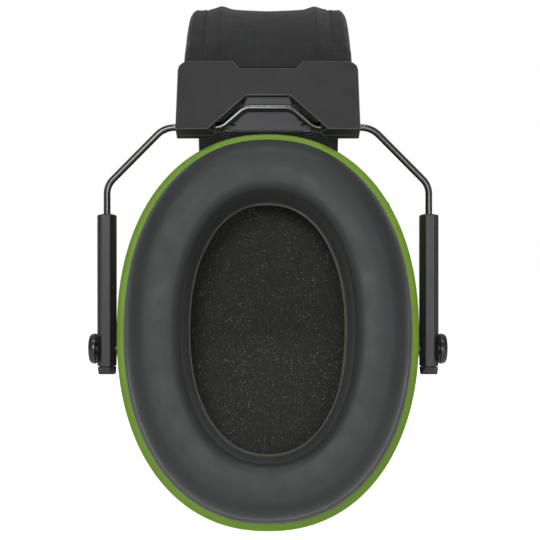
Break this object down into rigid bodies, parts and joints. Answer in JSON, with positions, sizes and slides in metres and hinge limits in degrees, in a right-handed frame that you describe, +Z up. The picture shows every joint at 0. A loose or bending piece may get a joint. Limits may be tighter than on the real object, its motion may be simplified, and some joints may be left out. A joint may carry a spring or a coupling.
{
  "type": "earmuff hearing protector",
  "caption": "Over-ear hearing protector: cushioned oval ear cups hung on bent wire yokes from a sprung, padded headband.",
  "frame": {"origin": "midway between the ear cups, on the line of their pivots, with both sides at their shortest setting: the middle of the wearer's head at ear height", "axes": "+X the wearer's front, +Y the wearer's left, +Z up towards the crown of the headband. The right cup, at -Y, is turned over with its cushion facing out"},
  "size_m": [0.1036, 0.1727, 0.1711],
  "materials": {
    "spring_steel": "brushed spring steel",
    "screw_steel": "satin zinc",
    "black_wire": "glossy black coated wire",
    "band_fabric": "ribbed black knit",
    "soft_foam": "open-cell foam",
    "liner_foam": "speckled open-cell foam",
    "cushion_skin": "soft matt vinyl",
    "shell_plastic": "fine moulded texture",
    "green_plastic": "satin moulded",
    "clip_plastic": "fine moulded texture",
    "slider_plastic": "satin moulded",
    "inner_plastic": "plain moulded",
    "pin_plastic": "glossy moulded"
  },
  "bodies": {
    "headband": {"headband_spring": "spring_steel", "headband_pad_foam": "soft_foam", "headband_cover": "band_fabric", "right_clip_cover": "clip_plastic", "right_clip_base": "clip_plastic", "right_front_clip_screw": "screw_steel", "right_rear_clip_screw": "screw_steel", "left_clip_cover": "clip_plastic", "left_clip_base": "clip_plastic", "left_front_clip_screw": "screw_steel", "left_rear_clip_screw": "screw_steel"},
    "right_yoke": {"right_yoke_wire": "black_wire", "right_front_wire_sleeve": "inner_plastic", "right_rear_wire_sleeve": "inner_plastic"},
    "left_yoke": {"left_yoke_wire": "black_wire", "left_front_wire_sleeve": "inner_plastic", "left_rear_wire_sleeve": "inner_plastic"},
    "right_sliders": {"right_front_slider": "slider_plastic", "right_front_slider_bush": "inner_plastic", "right_front_slider_plug": "slider_plastic", "right_rear_slider": "slider_plastic", "right_rear_slider_bush": "inner_plastic", "right_rear_slider_plug": "slider_plastic"},
    "left_sliders": {"left_front_slider": "slider_plastic", "left_front_slider_bush": "inner_plastic", "left_front_slider_plug": "slider_plastic", "left_rear_slider": "slider_plastic", "left_rear_slider_bush": "inner_plastic", "left_rear_slider_plug": "slider_plastic"},
    "right_cup": {"right_cup_shell": "shell_plastic", "right_cup_ring": "green_plastic", "right_cup_foam_liner": "liner_foam", "right_cushion_plate": "inner_plastic", "right_cushion_foam": "soft_foam", "right_cushion_skin": "cushion_skin", "right_front_pivot_pin": "pin_plastic", "right_rear_pivot_pin": "pin_plastic"},
    "left_cup": {"left_cup_shell": "shell_plastic", "left_cup_ring": "green_plastic", "left_cup_foam_liner": "liner_foam", "left_cushion_plate": "inner_plastic", "left_cushion_foam": "soft_foam", "left_cushion_skin": "cushion_skin", "left_front_pivot_pin": "pin_plastic", "left_rear_pivot_pin": "pin_plastic"}
  },
  "joints": [
    {"name": "right_yoke_swing", "type": "hinge", "parent": "headband", "child": "right_yoke", "pos_m": [0, -0.062, 0.06405], "axis": [1, 0, 0], "range_deg": [0, 12]},
    {"name": "left_yoke_swing", "type": "hinge", "parent": "headband", "child": "left_yoke", "pos_m": [0, 0.062, 0.06405], "axis": [-1, 0, 0], "range_deg": [0, 12]},
    {"name": "right_height", "type": "slide", "parent": "right_yoke", "child": "right_sliders", "axis": [0, 0, -1], "range_m": [0, 0.025]},
    {"name": "left_height", "type": "slide", "parent": "left_yoke", "child": "left_sliders", "axis": [0, 0, -1], "range_m": [0, 0.025]},
    {"name": "right_cup_turn", "type": "hinge", "parent": "right_sliders", "child": "right_cup", "pos_m": [0, -0.062, 0], "axis": [1, 0, 0], "range_deg": [-13, 202]},
    {"name": "left_cup_turn", "type": "hinge", "parent": "left_sliders", "child": "left_cup", "pos_m": [0, 0.062, 0], "axis": [1, 0, 0], "range_deg": [-15, 200]}
  ]
}
